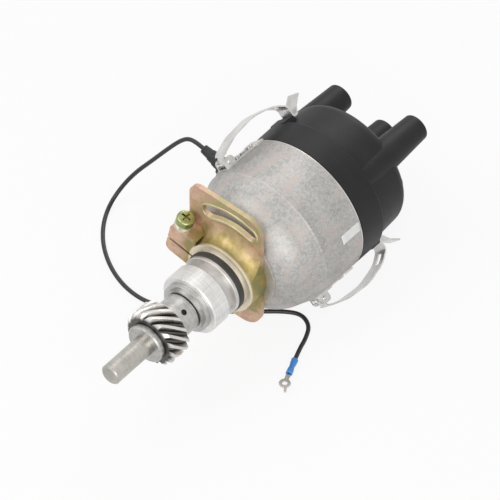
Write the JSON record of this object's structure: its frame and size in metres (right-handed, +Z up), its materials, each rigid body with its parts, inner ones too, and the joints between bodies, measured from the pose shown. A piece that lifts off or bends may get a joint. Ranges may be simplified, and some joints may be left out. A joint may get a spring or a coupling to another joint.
{
  "type": "ignition distributor",
  "caption": "Points-type ignition distributor: cast bowl and shank, helical drive gear, split clamp plate, black cap held by spring clips, with advance mechanism and rotor inside.",
  "frame": {"origin": "on the shaft's axis at the seat where the clamp plate bears under the bowl", "axes": "+X along the shaft towards the cap, +Z up as it lies on its side, shank and gear towards -X"},
  "size_m": [0.245, 0.173, 0.0948],
  "materials": {
    "cast_alloy": "as-cast, light warm grey",
    "bush_bronze": "sintered bronze",
    "seal_rubber": "smooth black",
    "grommet_rubber": "dull black",
    "yellow_zinc": "yellow zinc plate, iridescent",
    "green_zinc": "greenish zinc plate",
    "ground_steel": "ground steel",
    "gear_steel": "cut steel, oiled",
    "washer_steel": "turned steel",
    "inner_steel": "plated steel",
    "rotor_moulding": "dark brown moulding",
    "contact_brass": "bright brass",
    "leaf_steel": "spring steel",
    "plated_sheet": "zinc-plated sheet",
    "post_moulding": "dark moulding",
    "condenser_can": "drawn can",
    "cap_moulding": "black moulding, soft gloss",
    "brush_carbon": "pressed carbon",
    "bracket_steel": "bright plated sheet",
    "pin_steel": "bright steel",
    "clip_steel": "bright spring steel",
    "lead_sheath": "black sheath",
    "sleeve_blue": "blue vinyl",
    "tinned_sheet": "tinned brass sheet"
  },
  "bodies": {
    "housing": {"housing": "cast_alloy", "lower_bush": "bush_bronze", "upper_bush": "bush_bronze", "o_ring": "seal_rubber", "breaker_plate": "plated_sheet", "plate_screws": "plated_sheet", "contact_base": "plated_sheet", "contact_screw": "plated_sheet", "contact_spring": "leaf_steel", "lead_terminal": "post_moulding", "condenser": "condenser_can", "condenser_screw": "plated_sheet", "clip_bracket_1": "bracket_steel", "clip_bracket_2": "bracket_steel", "clip_pin_1": "pin_steel", "clip_pin_2": "pin_steel", "clip_rivets": "bracket_steel", "grommet": "grommet_rubber", "lead": "lead_sheath", "lead_sleeve": "sleeve_blue", "lead_fork": "tinned_sheet"},
    "clamp": {"clamp_plate": "yellow_zinc", "clamp_screw": "green_zinc", "clamp_flat_washer": "green_zinc", "clamp_lock_washer": "green_zinc"},
    "shaft": {"main_shaft": "ground_steel", "drive_gear": "gear_steel", "gear_pin": "ground_steel", "thrust_washer": "washer_steel", "advance_plate": "inner_steel", "advance_springs": "inner_steel"},
    "cam": {"cam": "inner_steel", "rotor_arm": "rotor_moulding", "rotor_electrode": "contact_brass", "rotor_spring": "leaf_steel"},
    "weight_1": {"advance_weight_1": "inner_steel"},
    "weight_2": {"advance_weight_2": "inner_steel"},
    "contact_arm": {"contact_arm": "plated_sheet"},
    "cap": {"distributor_cap": "cap_moulding", "cap_terminal_1": "contact_brass", "cap_terminal_2": "contact_brass", "cap_terminal_3": "contact_brass", "centre_terminal": "contact_brass", "carbon_brush": "brush_carbon", "brush_spring": "leaf_steel"},
    "clip_1": {"cap_clip_1": "clip_steel"},
    "clip_2": {"cap_clip_2": "clip_steel"}
  },
  "joints": [
    {"name": "timing_turn", "type": "hinge", "parent": "housing", "child": "clamp", "pos_m": [0, 0, 0], "axis": [1, 0, 0], "range_deg": [-15, 15]},
    {"name": "shaft_spin", "type": "hinge", "parent": "housing", "child": "shaft", "pos_m": [0, 0, 0], "axis": [1, 0, 0], "continuous": true},
    {"name": "cam_advance", "type": "hinge", "parent": "shaft", "child": "cam", "pos_m": [0.0186, 0, 0], "axis": [-1, 0, 0], "range_deg": [0, 10.6], "stiffness_Nm_per_rad": 0.1, "springref_deg": -2.86, "deforming": ["advance_springs"]},
    {"name": "weight_1_swing", "type": "hinge", "parent": "shaft", "child": "weight_1", "pos_m": [0.0186, 0.023, 0], "axis": [-1, 0, 0], "range_deg": [0, 12]},
    {"name": "weight_2_swing", "type": "hinge", "parent": "shaft", "child": "weight_2", "pos_m": [0.0186, -0.023, 0], "axis": [-1, 0, 0], "range_deg": [0, 12]},
    {"name": "contact_lift", "type": "hinge", "parent": "housing", "child": "contact_arm", "pos_m": [0.043, -0.023, 0.0195], "axis": [1, 0, 0], "range_deg": [0, 6], "stiffness_Nm_per_rad": 0.3, "springref_deg": -5.73, "deforming": ["contact_spring"]},
    {"name": "cap_lift", "type": "slide", "parent": "housing", "child": "cap", "axis": [1, 0, 0], "range_m": [0, 0.06]},
    {"name": "clip_1_swing", "type": "hinge", "parent": "housing", "child": "clip_1", "pos_m": [0.033, 0.03542, 0.03269], "axis": [0, -0.6782, 0.7349], "range_deg": [0, 100]},
    {"name": "clip_2_swing", "type": "hinge", "parent": "housing", "child": "clip_2", "pos_m": [0.033, -0.03542, -0.03269], "axis": [0, 0.6782, -0.7349], "range_deg": [0, 100]}
  ],
  "couplings": [
    {"joint": "weight_1_swing", "follows": "cam_advance", "ratio": 1.132},
    {"joint": "weight_2_swing", "follows": "cam_advance", "ratio": 1.132},
    {"joint": "clip_1_swing", "follows": "cap_lift", "rad_per_m": 29.08},
    {"joint": "clip_2_swing", "follows": "cap_lift", "rad_per_m": 29.08}
  ]
}
